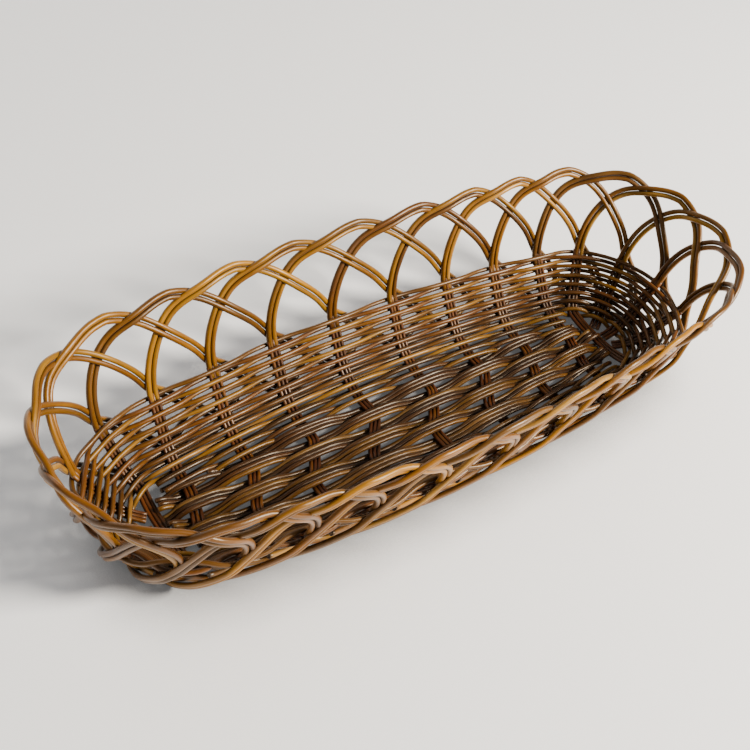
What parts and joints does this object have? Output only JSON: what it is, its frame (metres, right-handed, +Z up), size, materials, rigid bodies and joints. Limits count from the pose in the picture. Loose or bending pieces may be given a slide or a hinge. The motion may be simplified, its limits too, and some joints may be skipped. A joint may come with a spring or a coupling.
{
  "type": "bread basket",
  "caption": "Shallow oblong wicker basket with rounded ends: woven rod base, low flared randed wall and an open border of tall overlapping arches made of paired rods.",
  "frame": {"origin": "on the table, under the middle of the basket", "axes": "+X along the basket's length, +Y across it, +Z up out of its mouth"},
  "size_m": [0.3862, 0.1514, 0.0815],
  "materials": {
    "weaver_rods": "varnished peeled willow, tan to orange-brown, semi-gloss",
    "stake_rods": "varnished willow, red-brown, semi-gloss",
    "border_rods": "varnished peeled willow, pale tan with brown grain, semi-gloss"
  },
  "bodies": {
    "root": {"base_weaver_1": "weaver_rods", "base_weaver_2": "weaver_rods", "base_weaver_3": "weaver_rods", "base_weaver_4": "weaver_rods", "base_weaver_5": "weaver_rods", "base_weaver_6": "weaver_rods", "base_edge_rows": "weaver_rods", "stake_1": "stake_rods", "stake_2": "stake_rods", "stake_3": "stake_rods", "stake_4": "stake_rods", "stake_5": "stake_rods", "stake_6": "stake_rods", "stake_7": "stake_rods", "stake_8": "stake_rods", "stake_9": "stake_rods", "stake_10": "stake_rods", "end_stakes_left": "stake_rods", "end_stakes_right": "stake_rods", "heel_rows": "weaver_rods", "wall_row_1": "weaver_rods", "wall_row_2": "weaver_rods", "wall_row_3": "weaver_rods", "wall_row_4": "weaver_rods", "wall_row_5": "weaver_rods", "wall_row_6": "weaver_rods", "wall_row_7": "weaver_rods", "wall_row_8": "weaver_rods", "wall_row_9": "weaver_rods", "wall_row_10": "weaver_rods", "wall_row_11": "weaver_rods", "border_pair_1": "border_rods", "border_pair_2": "border_rods", "border_pair_3": "border_rods", "border_pair_4": "border_rods", "border_pair_5": "border_rods", "border_pair_6": "border_rods", "border_pair_7": "border_rods", "border_pair_8": "border_rods", "border_pair_9": "border_rods", "border_pair_10": "border_rods", "border_pair_11": "border_rods", "border_pair_12": "border_rods", "border_pair_13": "border_rods", "border_pair_14": "border_rods", "border_pair_15": "border_rods", "border_pair_16": "border_rods", "border_pair_17": "border_rods", "border_pair_18": "border_rods", "border_pair_19": "border_rods", "border_pair_20": "border_rods", "border_pair_21": "border_rods", "border_pair_22": "border_rods", "border_pair_23": "border_rods", "border_pair_24": "border_rods", "border_pair_25": "border_rods", "border_pair_26": "border_rods"}
  },
  "joints": []
}
